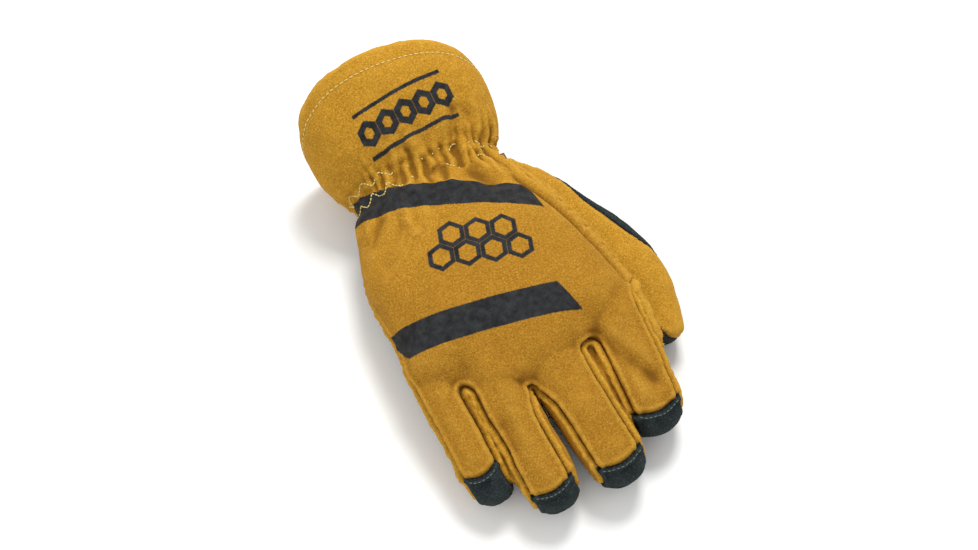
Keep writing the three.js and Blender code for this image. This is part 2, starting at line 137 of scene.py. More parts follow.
# %% [markdown]
# ## Folds and gathers
# Leather keeps the creases that wear has pressed into it. Large folds belong to the shape,
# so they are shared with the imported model. A row gives where a crease starts and ends, as
# shares of the hand, and its width and depth. Creases are soft valleys beside low ridges.

# %% Creases of the hand
# from across, from along, to across, to along, width in mm, depth in mm
folds = [
    (-0.02, 0.05, 0.38, 0.24, 6.3, 4.0),
    (-0.35, 0.08, -0.4, 0.32, 6.3, 3.4),
    (0.24, 0.86, 0.46, 1.0, 6.8, 2.9),
    (-0.5, 0.82, -0.28, 0.88, 5.7, 2.3),
]
creases = [
    (0.141, -0.14, 0.091, -0.019, 3.6, 2.6),
    (0.19, -0.12, 0.153, -0.059, 4.5, 2.2),
    (0.248, -0.031, 0.23, 0.014, 2.4, 1.0),
    (0.076, 0.021, 0.165, 0.178, 5.0, 3.4),
    (0.174, 0.207, 0.301, 0.356, 6.0, 1.0),
    (0.011, 0.022, -0.006, 0.096, 2.6, 1.3),
    (-0.044, -0.018, -0.084, 0.126, 2.8, 1.5),
    (0.025, -0.036, 0.017, -0.011, 2.2, 1.0),
    (-0.113, -0.059, -0.121, -0.014, 2.6, 1.2),
    (-0.128, 0.019, -0.143, 0.102, 2.8, 1.1),
    (-0.411, 0.101, -0.433, 0.18, 2.6, 1.4),
    (-0.339, 0.141, -0.414, 0.213, 3.4, 1.6),
    (-0.249, 0.193, -0.317, 0.26, 4.0, 1.0),
    (-0.295, 0.844, -0.328, 0.893, 6.0, 1.3),
    (0.262, 0.955, 0.41, 1.175, 5.5, 3.3),
    (0.41, 1.175, 0.43, 1.278, 6.0, 1.6),
    (-0.243, 1.124, -0.244, 1.198, 6.0, 2.2),
    (0.093, 1.222, 0.103, 1.329, 6.0, 0.9),
    (0.079, 1.035, 0.07, 1.107, 6.0, 0.8),
    (-0.04, 0.856, 0.093, 0.952, 9.0, 0.6),
    (-0.234, 0.792, -0.134, 0.864, 8.0, 0.8),
    (0.237, 0.799, 0.304, 0.901, 8.0, 1.0),
]


def crease_depth(table, x, y):
    """How deep the creases of a table are at places given in millimetres."""
    depth = np.zeros_like(x)
    for x0, along0, x1, along1, width, deep in table:
        start = np.array([hand_shift + x0 * hand_width, wrist_y - along0 * hand_length])
        end = np.array([hand_shift + x1 * hand_width, wrist_y - along1 * hand_length])
        run = end - start
        t = np.clip(((x - start[0]) * run[0] + (y - start[1]) * run[1]) / (run @ run), 0, 1)
        away = np.hypot(x - start[0] - t * run[0], y - start[1] - t * run[1]) / width
        depth += deep * np.exp(-away * away)
    return depth


print("folds", len(folds), "creases", len(creases))

# %% [markdown]
# ## Rings of the cuff and hand
# The cuff and hand are one tube. A circle of edges is extruded from section to section, as a
# loft. At the rim the tube turns over a round lip and runs back inside, because the leather
# is turned in there and stitched down.

# %% One ring, and its reverse: where a point lies on the tube
BODY_SIDES = 200


def body_ring(y, inset):
    angle = np.arange(BODY_SIDES) / BODY_SIDES * 2 * math.pi
    c, n = np.cos(angle), np.sin(angle)
    half, middle, top, bottom, square = body_row([y])[:, 0]
    x = middle + power(c, 2 / square) * (half - inset)
    z = (top + bottom) / 2 + power(n, 2 / square) * ((top - bottom) / 2 - inset)
    rise = knuckle_tilt * max(wrist_y - y, 0) / hand_length * (x - middle)
    z += np.maximum(n, 0) * (rise - crease_depth(folds, x, np.full_like(x, y)))
    share = min(max(y - wrist_y, 0) / cuff_length, 1)
    lean = np.where(n > 0, rim_reach, rim_short) * n - rim_skew * c
    return np.stack([x, y + lean * share, np.maximum(z, inset)], 1)


def on_body(p):
    """Share along the cuff, angle and depth under the tube's outer face, for points."""
    share = np.clip((p[:, 1] - wrist_y) / cuff_length, 0, None)
    for _ in range(4):
        y = np.where(p[:, 1] > wrist_y, wrist_y + share * cuff_length, p[:, 1])
        half, middle, top, bottom, square = body_row(y)
        dx, dz = (p[:, 0] - middle) / half, (2 * p[:, 2] - top - bottom) / (top - bottom)
        angle = np.arctan2(power(dz, square / 2), power(dx, square / 2))
        n = np.sin(angle)
        lean = np.where(n > 0, rim_reach, rim_short) * n - rim_skew * np.cos(angle)
        share = np.clip((p[:, 1] - wrist_y) / (cuff_length + lean), 0, None)
    size = (np.abs(dx) ** square + np.abs(dz) ** square) ** (1 / square)
    reach = np.hypot(dx * half, dz * (top - bottom) / 2)
    return share, angle, reach * (1 / np.maximum(size, 1e-6) - 1)


def loft(bm, rings):
    """Extrudes a circle of edges through the rings, and closes both ends."""
    place = bm.verts.layers.int.get("place") or bm.verts.layers.int.new("place")
    made = bmesh.ops.create_circle(bm, cap_ends=True, segments=len(rings[0]), radius=1)
    for i, v in enumerate(made["verts"]):
        v[place] = i
        v.co = Vector(rings[0][i]) * MM
    edges = list({e for v in made["verts"] for e in v.link_edges})
    for ring in rings[1:]:
        grown = bmesh.ops.extrude_edge_only(bm, edges=edges)["geom"]
        verts = {g for g in grown if isinstance(g, bmesh.types.BMVert)}
        edges = [g for g in grown if isinstance(g, bmesh.types.BMEdge) and set(g.verts) <= verts]
        for v in verts:
            v.co = Vector(ring[v[place]]) * MM
    bmesh.ops.contextual_create(bm, geom=edges)
    return bm


# %% Loft the cuff and hand
cuff_end = wrist_y + cuff_length
stations = np.arange(cuff_end - lip_radius, wrist_y - hand_length, -3.0)
rings = [body_ring(cuff_end - hem_depth - 2, 2 * lip_radius)]
rings += [
    body_ring(y, 2 * lip_radius) for y in (cuff_end - 9, cuff_end - 5, cuff_end - lip_radius)
]
for turn in (150, 120, 90, 60, 30):
    out = math.radians(turn)
    y = cuff_end - lip_radius + lip_radius * math.sin(out)
    rings.append(body_ring(y, lip_radius * (1 - math.cos(out))))
rings += [body_ring(y, 0) for y in [*stations, wrist_y - hand_length]]
hand = loft(bmesh.new(), rings)
print("tube", len(hand.verts), "vertices")

# %% [markdown]
# ## Fingers and thumb
# Each finger is a tube round an arc that leaves the hand level and curls down until the tip
# rests on the ground, as an empty glove's fingers do. The arc's pitch is found by halving.
# The thumb follows a curve through its own table beside the hand.

# %% Finger sizes
root_y, finger_length, finger_width, finger_depth, cap_length = 18, 127, 39, 34, 16
root_full, root_ease, tip_taper = 0.6, 0.3, 0.84
finger_round, thumb_round, tip_power, digit_power = 0.65, 0.4, 2.5, 0.8
DIGIT_SIDES = 56
UP = np.array([0.0, 0.0, 1.0])
# name, out, rise, long, wide, deep, cap, yaw, roll
finger_rows = [
    ("little", -0.4, 0.46, 0.83, 0.77, 0.85, 1.3, 2.5, -20),
    ("ring", -0.235, 0.52, 0.98, 0.92, 0.94, 0.95, 6, -12),
    ("middle", 0.03, 0.57, 1, 1, 1, 1, 7.5, -4),
    ("index", 0.37, 0.56, 0.85, 1.08, 0.97, 1, 0, 4),
]


class Finger:
    """The sizes of one finger and the arc of its middle line."""

    def __init__(self, name, out, rise, long, wide, deep, cap, yaw, roll):
        self.name = name
        self.length, self.width = long * finger_length, wide * finger_width
        self.depth, self.cap = deep * finger_depth, cap * cap_length
        self.root = np.array([hand_shift + out * hand_width, root_y, rise * hand_height])
        drop = self.root[2] - self.depth * tip_taper / 2
        low, high = 0.01, 1.5
        for _ in range(40):
            middle = (low + high) / 2
            fallen = self.length * (1 - math.cos(middle)) / middle
            low, high = (middle, high) if fallen < drop else (low, middle)
        self.pitch, self.bend = low, low / self.length
        self.yaw, self.roll = math.radians(yaw), math.radians(roll)
        self.forward = np.array([math.sin(self.yaw), -math.cos(self.yaw), 0])
        self.side = np.array([math.cos(self.yaw), math.sin(self.yaw), 0])

    def at(self, s):
        """Middle, along, across and back of the finger at a length s from its root."""
        turn = self.bend * s
        along = self.forward * math.cos(turn) - UP * math.sin(turn)
        back = self.forward * math.sin(turn) + UP * math.cos(turn)
        fall = UP * (math.cos(turn) - 1)
        middle = self.root + (self.forward * math.sin(turn) + fall) / self.bend
        c, n = math.cos(self.roll), math.sin(self.roll)
        return middle, along, self.side * c - back * n, back * c + self.side * n

    def above(self, y):
        """Place, height and taper of the middle line where it passes y."""
        reach = (root_y - y) / math.cos(self.yaw)
        on_arc = np.clip(reach, 0, math.sin(self.pitch) / self.bend)
        turn = np.arcsin(on_arc * self.bend)
        beyond = np.maximum(reach - on_arc, 0)
        x = self.root[0] + math.tan(self.yaw) * (root_y - y)
        z = self.root[2] - (1 - np.cos(turn)) / self.bend - beyond * math.tan(self.pitch)
        return x, z, 1 + (tip_taper - 1) * turn / self.pitch


fingers = [Finger(*row) for row in finger_rows]
print({f.name: round(f.length) for f in fingers})


# %% Rings of a finger or thumb
def digit_ring(middle, across, back, half_width, half_depth):
    angle = (np.arange(DIGIT_SIDES) + 0.5) / DIGIT_SIDES * 2 * math.pi
    wide = power(np.cos(angle), digit_power)[:, None] * half_width
    deep = power(np.sin(angle), digit_power)[:, None] * half_depth
    ring = middle + wide * across + deep * back
    ring[:, 2] = np.maximum(ring[:, 2], 0)
    return ring


def digit_stations(length, stretch):
    """Lengths along a digit and how full it is there, rounding off at its tip."""
    straight = [(s, 1.0) for s in np.linspace(0, length - stretch, 30)]
    for t in np.sin(np.linspace(0.12, 1.52, 12)):
        straight.append((length - stretch + t * stretch, (1 - t**tip_power) ** (1 / tip_power)))
    return straight


for finger in fingers:
    rings = []
    for s, round_off in digit_stations(finger.length, finger.depth * finger_round):
        share = s / finger.length
        root = root_full + (1 - root_full) * smooth(share, 0, root_ease)
        full = root * (1 + (tip_taper - 1) * share) * round_off
        middle, _, across, back = finger.at(s)
        half_width, half_depth = finger.width / 2 * full, finger.depth / 2 * full
        rings.append(digit_ring(middle, across, back, half_width, half_depth))
    loft(hand, rings)
bmesh.ops.recalc_face_normals(hand, faces=hand.faces)
print("hand with fingers", len(hand.verts), "vertices")

# %% [markdown]
# The real thumb is two pieces of its own, sewn in beside the palm. An armature could bend a
# straight tube to its shape, but a table of sections along a curve keeps its seams in known
# places and can be read beside the finger table.

# %% Thumb
thumb_width, thumb_depth = 35, 31
# out, back, rise, full, roll, outer seam, inner seam
thumb_rows = np.array([
    (0.1, 0.05, 0.42, 0.8, 0, 0.1, 0.7),
    (0.3, 0.2, 0.42, 1.0, 0, 0.3, 0.6),
    (0.425, 0.4, 0.37, 1.07, 4, 1.1, 0.3),
    (0.54, 0.58, 0.31, 1.03, 8, 1.45, 0.0),
    (0.582, 0.76, 0.27, 0.94, 10, 0.5, 0.0),
    (0.57, 0.91, 0.235, 0.84, 12, -0.7, 1.6),
    (0.552, 1.015, 0.21, 0.76, 12, -2.4, 4.4),
])
thumb_knots = np.linspace(0, 1, len(thumb_rows))
thumb_points = np.stack([
    hand_shift + thumb_rows[:, 0] * hand_width,
    wrist_y - thumb_rows[:, 1] * hand_length,
    thumb_rows[:, 2] * hand_height,
], 1)


def thumb_at(share):
    """Middle, along, across, back and the row of the thumb at a share of its length."""
    middle = eased(thumb_knots, thumb_points, np.array([share]))[0]
    ends = np.clip(np.array([share - 0.01, share + 0.01]), 0, 1)
    before, after = eased(thumb_knots, thumb_points, ends)
    along = (after - before) / np.linalg.norm(after - before)
    side = np.array([-along[1], along[0], 0])
    side /= np.linalg.norm(side)
    back = np.cross(along, side)
    back *= np.sign(back[2])
    row = eased(thumb_knots, thumb_rows, np.array([share]))[0]
    c, n = math.cos(math.radians(row[4])), math.sin(math.radians(row[4]))
    return middle, along, side * c - back * n, back * c + side * n, row


thumb_line = np.array([thumb_at(t)[0] for t in np.linspace(0, 1, 61)])
thumb_length = np.linalg.norm(np.diff(thumb_line, axis=0), axis=1).sum()
rings = []
for s, round_off in digit_stations(thumb_length, thumb_depth * thumb_round):
    middle, along, across, back, row = thumb_at(s / thumb_length)
    full = row[3] * round_off
    half_width, half_depth = thumb_width / 2 * full, thumb_depth / 2 * full
    rings.append(digit_ring(middle, across, back, half_width, half_depth))
thumb = loft(bmesh.new(), rings)
bmesh.ops.recalc_face_normals(thumb, faces=thumb.faces)
print("thumb length", round(thumb_length), "mm")

# %% [markdown]
# ## One skin
# The tube, fingers and thumb overlap. A voxel remesh makes one even skin of them, fine
# enough to carry creases and seams. A few smoothing steps then round the webs between the
# fingers, as stretched leather does.

# %% Remesh to one skin
VOXEL = 1.15 * MM
WEB_SMOOTHING = 4
hand_tree, thumb_tree = BVHTree.FromBMesh(hand), BVHTree.FromBMesh(thumb)


def mesh_of(bm, name):
    mesh = bpy.data.meshes.new(name)
    bm.to_mesh(mesh)
    return mesh


both = bmesh.new()
both.from_mesh(mesh_of(hand, "hand_draft"))
both.from_mesh(mesh_of(thumb, "thumb_draft"))
draft = bpy.data.objects.new("skin_draft", mesh_of(both, "skin_draft"))
bpy.context.collection.objects.link(draft)
remesh = draft.modifiers.new("Skin", "REMESH")
remesh.mode = "VOXEL"
remesh.voxel_size = VOXEL
bpy.context.view_layer.update()
evaluated = draft.evaluated_get(bpy.context.evaluated_depsgraph_get())
skin = bmesh.new()
skin.from_mesh(bpy.data.meshes.new_from_object(evaluated))
bpy.data.objects.remove(draft)
for bm in (hand, thumb, both):
    bm.free()
for _ in range(WEB_SMOOTHING):
    bmesh.ops.smooth_vert(
        skin, verts=skin.verts, factor=0.5, use_axis_x=True, use_axis_y=True, use_axis_z=True
    )
for v in skin.verts:
    v.co.z = max(v.co.z, 0)
print("skin", len(skin.verts), "vertices", len(skin.faces), "faces")

# %% [markdown]
# ## Where the pieces meet
# The skin is cut along the real seams. Each seam is a place where a measure changes sign,
# such as the height over the line between back and side strip. An edge that crosses the seam
# gets a vertex there, and the new vertices are joined, so borders are clean lines.

# %% Seam measures
seam_rise, seam_drop, seam_step, cap_share = 0.78, 0.5, (0.35, 0.65), 0.85
little_strip, index_strip, side_seam_rise = (0.2, 0.62), (0.6, 0.86), 0.27
CAP_BOW = 4.5
NOWHERE = -9.0  # the measure of a place that a seam doesn't reach
# Where seams turn in a U between two fingers: across, along, and the dip, as shares
seam_dips = [(-0.293, 0.942, -0.02), (-0.053, 1.0, 0.105), (0.218, 0.921, 0.035)]
dip_across, dip_along = 0.083, 0.086


def finger_seam_height(share, x, y):
    spots = []
    for f in fingers:
        line_x, z, taper = f.above(y)
        half = f.width / 2 * taper
        tilt = -math.tan(f.roll) * np.clip(x - line_x, -half, half)
        spots.append((line_x, z + share * f.depth / 2 * taper + tilt))
    height = spots[0][1]
    for (ax, _), (bx, bz) in zip(spots, spots[1:]):
        start, end = (ax + (bx - ax) * step for step in seam_step)
        height = height + (bz - height) * smooth(x, start, end)
    for across, along, drop in seam_dips:
        u = (x - hand_shift - across * hand_width) / (dip_across * hand_width)
        v = (y - wrist_y + along * hand_length) / (dip_along * hand_length)
        height = height - drop * hand_height * np.exp(-u * u - v * v)
    return height


def seam_height(share, x, y):
    along = (wrist_y - y) / hand_length
    little = smooth(along, *little_strip)
    index = smooth(along, *index_strip)
    ease = np.where(x < hand_shift, little, index)
    side = side_seam_rise * hand_height
    return side + (finger_seam_height(share, x, y) - side) * ease


def thumb_seam(p):
    """Height over the thumb's seam, from the nearest place on its middle line."""
    shares = np.linspace(0, 1, 61)
    frames = [thumb_at(t) for t in shares]
    near = np.linalg.norm(p[:, None] - thumb_line[None], axis=2).argmin(1)
    middle = thumb_line[near]
    across = np.array([f[2] for f in frames])[near]
    back = np.array([f[3] for f in frames])[near]
    row = np.array([f[4] for f in frames])[near]
    u = np.clip(((p - middle) * across).sum(1) / thumb_width / 2 + 0.5, 0, 1)
    height = row[:, 6] + (row[:, 5] - row[:, 6]) * u
    return ((p - middle) * back).sum(1) - height * row[:, 3] * thumb_depth / 2


def thumb_side(p):
    """Positive on the thumb and negative on the hand."""
    side = np.full(len(p), NOWHERE)
    for i in np.flatnonzero((p[:, 0] > 30) & (p[:, 1] < 100)):
        spot = Vector(p[i]) * MM
        side[i] = (hand_tree.find_nearest(spot)[3] - thumb_tree.find_nearest(spot)[3]) / MM
    return side


def places(bm):
    return np.array([v.co[:] for v in bm.verts]) / MM


print("seams", seam_rise, seam_drop)


# %% Measures at every vertex
def nearest_finger(p):
    away = [np.abs(p[:, 0] - f.above(p[:, 1])[0]) / f.width for f in fingers]
    return np.argmin(away, axis=0)


def cap_bow(f, u):
    """How much further the suede runs out over the fingertip leather, at u from the middle."""
    half = cap_share * f.width / 2 * tip_taper
    return CAP_BOW * (1 - np.clip(np.abs(u) / half, 0, 1) ** 2) - 1


def measures(p):
    """Every seam's measure for points in millimetres."""
    x, y, z = p.T
    share, angle, inset = on_body(p)
    found = {
        "thumb": thumb_side(p),
        "thumb_seam": thumb_seam(p),
        "back": z - seam_height(seam_rise, x, y),
        "palm": z - seam_height(-seam_drop, x, y),
        "wrist": y - wrist_y,
        "hem": np.where(share > 0.5, inset - lip_radius - 0.5, NOWHERE),
        "hem_end": (share - 1) * cuff_length + hem_depth,
        "tip": np.full(len(p), NOWHERE),
        "cap": np.full(len(p), NOWHERE),
    }
    own = nearest_finger(p)
    for i, f in enumerate(fingers):
        middle, along, across, _ = f.at(f.length - f.cap)
        mine = (own == i) & (y < 0)
        u = (p - middle) @ across
        found["tip"][mine] = ((p - middle) @ along - cap_bow(f, u))[mine]
        found["cap"][mine] = (cap_share * f.width / 2 * tip_taper - np.abs(u))[mine]
    return found


def cut_at_zero(bm, name, where):
    """Cuts the skin along the zero line of a measure, where a test of the others holds."""
    found = measures(places(bm))
    values, allowed = found[name], where(found)
    level = bm.verts.layers.float.get("level") or bm.verts.layers.float.new("level")
    bm.verts.ensure_lookup_table()
    pairs = np.array([(e.verts[0].index, e.verts[1].index) for e in bm.edges])
    a, b = pairs.T
    usable = allowed[a] & allowed[b]
    crossing = np.flatnonzero(usable & (values[a] * values[b] < 0))
    moved = {}
    for k in crossing:
        t = values[a[k]] / (values[a[k]] - values[b[k]])
        for own, other, share in ((a[k], b[k], t), (b[k], a[k], 1 - t)):
            if share < 0.25 and share < moved.get(own, (1, 0))[0]:
                moved[own] = (share, other)
    spots = {i: bm.verts[i].co.lerp(bm.verts[o].co, s) for i, (s, o) in moved.items()}
    for i, spot in spots.items():
        bm.verts[i].co = spot
        values[i] = 0
    for v, value, on in zip(bm.verts, values, allowed):
        v[level] = value if on else 99.0
    bm.edges.ensure_lookup_table()
    still = np.flatnonzero(usable & (values[a] * values[b] < 0))
    split = bmesh.ops.bisect_edges(bm, edges=[bm.edges[k] for k in still], cuts=1)
    fresh = [g for g in split["geom_split"] if isinstance(g, bmesh.types.BMVert)]
    for v in fresh:
        one, two = (e.other_vert(v) for e in v.link_edges)
        v.co = one.co.lerp(two.co, one[level] / (one[level] - two[level]))
    for v in fresh:
        v[level] = 0
    on_seam = [v for v in bm.verts if v[level] == 0]
    bmesh.ops.connect_verts(bm, verts=on_seam, check_degenerate=False)
    bm.verts.index_update()
    print("cut", name, len(on_seam), "vertices on the seam")


# %% Cut the skin
def on_hand(found):
    return (found["thumb"] < 2.5) & (found["hem"] < 0)


# Each cut reaches a little past the pieces it parts, so that it meets the next seam
cut_at_zero(skin, "hem", lambda m: m["hem"] > NOWHERE + 1)
cut_at_zero(skin, "hem_end", lambda m: m["hem"] > 0)
cut_at_zero(skin, "thumb", lambda m: m["thumb"] > NOWHERE + 1)
cut_at_zero(skin, "thumb_seam", lambda m: m["thumb"] > -0.4)
cut_at_zero(skin, "tip", lambda m: (m["palm"] > -2) & on_hand(m))
cut_at_zero(skin, "cap", lambda m: (m["palm"] > -2) & (m["tip"] > -0.01) & on_hand(m))
cut_at_zero(skin, "back", lambda m: (m["tip"] < 0.4) & on_hand(m))
cut_at_zero(skin, "palm", lambda m: (m["thumb"] < 0.4) & (m["hem"] < 0))
cut_at_zero(skin, "wrist", lambda m: (m["palm"] < 0.4) & on_hand(m))

# %% [markdown]
# ## Which piece each face belongs to
# The signs of the measures name the piece. A side strip lies between two fingers, so it is
# named by how many finger lines it has on its little finger's side.

# %% Name the faces
strips = ["side_strip_little"]
strips += [f"fourchette_{a.name}_{b.name}" for a, b in zip(fingers, fingers[1:])]
strips.append("side_strip_index")
names = ["back_panel", "palm_panel", "cuff_palm", "cuff_hem", "thumb_back", "thumb_palm"]
names += [f"fingertip_{f.name}" for f in fingers] + strips
skin.faces.ensure_lookup_table()
found = measures(places(skin))
corners = [[v.index for v in f.verts] for f in skin.faces]
sign = {k: np.array([m[c].mean() for c in corners]) for k, m in found.items()}
centre = np.array([f.calc_center_median()[:] for f in skin.faces]) / MM
passed = sum((centre[:, 0] > f.above(centre[:, 1])[0]).astype(int) for f in fingers)
label = names.index(strips[0]) + passed
label[(sign["back"] > 0) & (sign["tip"] < 0)] = names.index("back_panel")
on_tip = (sign["tip"] > 0) & (sign["cap"] > 0)
own = nearest_finger(centre)
for i, f in enumerate(fingers):
    label[on_tip & (own == i)] = names.index(f"fingertip_{f.name}")
label[sign["palm"] < 0] = names.index("palm_panel")
label[(sign["palm"] < 0) & (sign["wrist"] > 0)] = names.index("cuff_palm")
on_thumb = sign["thumb"] > 0
label[on_thumb & (sign["thumb_seam"] > 0)] = names.index("thumb_back")
label[on_thumb & (sign["thumb_seam"] <= 0)] = names.index("thumb_palm")
label[sign["hem"] > 0] = names.index("cuff_hem")
past_hem = (sign["hem"] > 0) & ((sign["hem_end"] < 0) | (sign["hem"] > 5))
print({n: int((label == i).sum()) for i, n in enumerate(names)})
label[past_hem] = len(names)
for f, value in zip(skin.faces, label):
    f.material_index = int(value)
waste = [f for f in skin.faces if f.material_index == len(names)]
bmesh.ops.delete(skin, geom=waste, context="FACES")

# %% [markdown]
# ## Seams, gathers and creases in the surface
# A turned seam pulls the two edges down into a groove, and the folded edges under it make a
# soft roll on each side. So every vertex moves along its normal by a profile of its distance
# from the nearest seam. Gathers at the elastic are ridges that run out into the cuff and hand.

# %% Distance from the seams
# Kind of seam: groove and its width, roll, place of the roll and its width, all in mm
seam_kinds = {
    "thumb": (2.6, 1.4, 1.0, 3.0, 1.6),
    "strip": (1.5, 1.0, 1.4, 2.6, 1.4),
    "cap": (1.0, 1.0, 0.5, 2.2, 1.2),
    "flat": (0.8, 1.0, 0.2, 2.2, 1.4),
}


def seam_kind(one, two):
    if "cuff_hem" in (one, two):
        return None
    if one.startswith("thumb") != two.startswith("thumb"):
        return "thumb"
    if "fingertip" in one + two:
        return "cap"
    if "back_panel" in (one, two):
        return "strip"
    return "flat"


on_seams = {kind: set() for kind in seam_kinds}
for e in skin.edges:
    if len(e.link_faces) == 2:
        one, two = (f.material_index for f in e.link_faces)
        kind = seam_kind(names[one], names[two]) if one != two else None
        if kind:
            on_seams[kind].update(v.co.copy().freeze() for v in e.verts)
skin.verts.index_update()
skin.normal_update()
place = places(skin)
normal = np.array([v.normal[:] for v in skin.verts])
away = {}
for kind, spots in on_seams.items():
    tree = KDTree(len(spots))
    for i, spot in enumerate(sorted(spots, key=lambda s: s[:])):
        tree.insert(spot, i)
    tree.balance()
    away[kind] = np.array([tree.find(v.co)[2] for v in skin.verts]) / MM
print({k: len(s) for k, s in on_seams.items()})

# %% [markdown]
# An elastic is sewn inside the real wrist and draws the leather into ridges. They could be
# sculpted by hand. Here each ridge is a row of sizes, so it can be counted, moved and changed,
# and noise keeps the rows from looking drawn with a ruler.

# %% Gathers at the wrist
ELASTIC_TILT, ELASTIC_DRAW, ELASTIC_WIDTH, GATHER_PITCH = -0.04, 1.4, 12, 6.6
# angle in degrees, width in degrees, height in mm, reach into the cuff and hand in mm, slant
gathers = [
    (138, 5, 1.0, 9, 16, 0.0),
    (155, 5, 1.2, 9, 14, 0.0),
    (172, 5, 1.2, 10, 12, 0.0),
    (200, 8, 1.2, 10, 12, 0.0),
    (232, 8, 1.4, 12, 12, 0.1),
    (262, 8, 1.5, 11, 12, -0.1),
    (292, 8, 1.3, 12, 12, 0.1),
    (325, 8, 1.2, 10, 12, 0.0),
    (350, 5, 1.2, 10, 12, 0.0),
]
for turn in np.arange(8, 134, GATHER_PITCH):
    turns, sizes, reaches = (
        noise.noise(Vector((turn * 0.37, row, 2.3))) for row in (0.5, 4.5, 8.5)
    )
    gathers.append((
        turn + 4 * turns, 2.4 + sizes, 2.5 + 3 * reaches,
        11 + 14 * turns, 16 + 28 * sizes, 1.1 * reaches,
    ))
share, angle, inset = on_body(place)
degrees = np.degrees(angle) % 360
past = place[:, 1] - wrist_y - ELASTIC_TILT * place[:, 0]
gathered = -ELASTIC_DRAW * np.exp(-((past / ELASTIC_WIDTH) ** 2))
wander = np.array([3 * noise.noise(Vector(p) / 8) for p in place])
puff = np.array([1 + 0.8 * noise.noise(Vector(p) / 5 + Vector((9, 9, 9))) for p in place])
for turn, width, height, up, down, slant in gathers:
    across = (degrees + wander - turn - slant * past + 180) % 360 - 180
    fade = np.exp(-(np.abs(past) / np.where(past > 0, up, down)) ** 1.6)
    gathered += height * puff * fade * np.exp(-((across / width) ** 2))
on_cuff = (inset < lip_radius) & (place[:, 1] > 60)
gathered[~on_cuff] = 0
print("gathers up to", round(float(gathered.max()), 1), "mm")

# %% Move the skin
hem_line = (1 - share) * cuff_length
HEM_STITCH, HEM_SINK = 8.3, 0.45
ZIGZAG_HALF, ZIGZAG_SINK = 5.0, 0.45
CROWN, CROWN_WIDTH, CROWN_FADE = 1.6, 9, (-80, -20)
RIM_FADE = (1, 7)
ON_GROUND, CLEAR_OF_GROUND = 1.2, 0.3
knobs = np.array([1 + 0.9 * noise.noise(Vector(p) / 2.8) for p in place])
move = gathered.copy()
clear_of_rim = smooth(hem_line, *RIM_FADE)
for kind, (groove, groove_width, roll, roll_at, roll_width) in seam_kinds.items():
    d = away[kind]
    rolls = roll * knobs * np.exp(-(((d - roll_at) / roll_width) ** 2))
    move += clear_of_rim * (rolls - groove * np.exp(-((d / groove_width) ** 2)))
# The folded edge of the back lies along the thumb as one wide, soft, knobbly roll
WELT, WELT_WIDTH, WELT_CREASE, WELT_FADE = 3.6, 8.5, 0.75, (-84, -62)
rolled = np.exp(-(((away["thumb"] - WELT_WIDTH / 2) / 2.4) ** 2)) * (0.35 + 0.65 * knobs)
rolled -= WELT_CREASE * np.exp(-(((away["thumb"] - WELT_WIDTH) / 1.6) ** 2))
move += WELT * rolled * (thumb_side(place) < 0) * smooth(-place[:, 1], *WELT_FADE)
edge = np.minimum(np.minimum(away["strip"], away["thumb"]), away["cap"])
outside = (inset < 12) | (place[:, 1] < 60)
upper = smooth(normal[:, 2], 0.0, 0.4) * smooth(away["thumb"], 1, 4) * outside
move -= upper * crease_depth(creases, place[:, 0], place[:, 1])
crowned = 1 - np.exp(-((edge / CROWN_WIDTH) ** 2))
move += CROWN * upper * crowned * smooth(-place[:, 1], *CROWN_FADE)
stitched = np.exp(-(((hem_line - HEM_STITCH) / 0.9) ** 2)) * (share > 0.7) * on_cuff
move -= HEM_SINK * stitched
for line in (-ZIGZAG_HALF, ZIGZAG_HALF):
    move -= ZIGZAG_SINK * np.exp(-(((past - line) / 1.3) ** 2)) * on_cuff
# Slow, low lumps, as leather that has been worn and dried has
lumps = np.array([
    0.75 * noise.noise(Vector(p) / 17) + 0.35 * noise.noise(Vector(p) / 7) for p in place
])
move += lumps * np.clip(away["strip"] / 6, 0.3, 1)
moved = place + normal * move[:, None]
# What lies on the ground stays flat, and nothing else comes down to it
lifted = np.maximum(moved[:, 2], CLEAR_OF_GROUND)
moved[:, 2] = np.where(place[:, 2] < ON_GROUND, place[:, 2], lifted)
for v, spot in zip(skin.verts, moved):
    v.co = Vector(spot) * MM
bmesh.ops.smooth_vert(
    skin, verts=skin.verts, factor=0.3, use_axis_x=True, use_axis_y=True, use_axis_z=True
)
skin.normal_update()
print("moved by", round(float(move.min()), 1), "to", round(float(move.max()), 1), "mm")

# %% [markdown]
# Painted shade: the colour is made darker where the surface is folded in, and the nap is
# rubbed paler where it stands out, as wear. A value for each vertex says how hollow the
# surface is there, from the heights of its neighbours.

# %% Hollows and ridges
pairs = np.array([(e.verts[0].index, e.verts[1].index) for e in skin.edges])
a, b = pairs.T
place = places(skin)
normal = np.array([v.normal[:] for v in skin.verts])
count = np.bincount(pairs.ravel(), minlength=len(place))[:, None]


def spread(values):
    """The mean of each vertex's neighbours."""
    total = np.zeros_like(values)
    for k in range(values.shape[1]):
        total[:, k] += np.bincount(a, values[b, k], len(values))
        total[:, k] += np.bincount(b, values[a, k], len(values))
    return total / count


def depth_under(steps):
    """How far each vertex lies under the surface that so many smoothing steps leave."""
    flat = place
    for _ in range(steps):
        flat = 0.4 * flat + 0.6 * spread(flat)
    return ((flat - place) * normal).sum(1)[:, None]


# Narrow hollows such as seams, and broad ones such as the gaps between the fingers.
# Both get painted shade in the suede's colour.
hollow = depth_under(8) / 0.5 + depth_under(60) / 4
for _ in range(2):
    hollow = 0.5 * hollow + 0.5 * spread(hollow)
layer = skin.verts.layers.float.new("hollow")
for v, value in zip(skin.verts, hollow[:, 0]):
    v[layer] = float(np.clip(value, -1, 1))
print("hollows", round(float(hollow.min()), 2), "to", round(float(hollow.max()), 2))

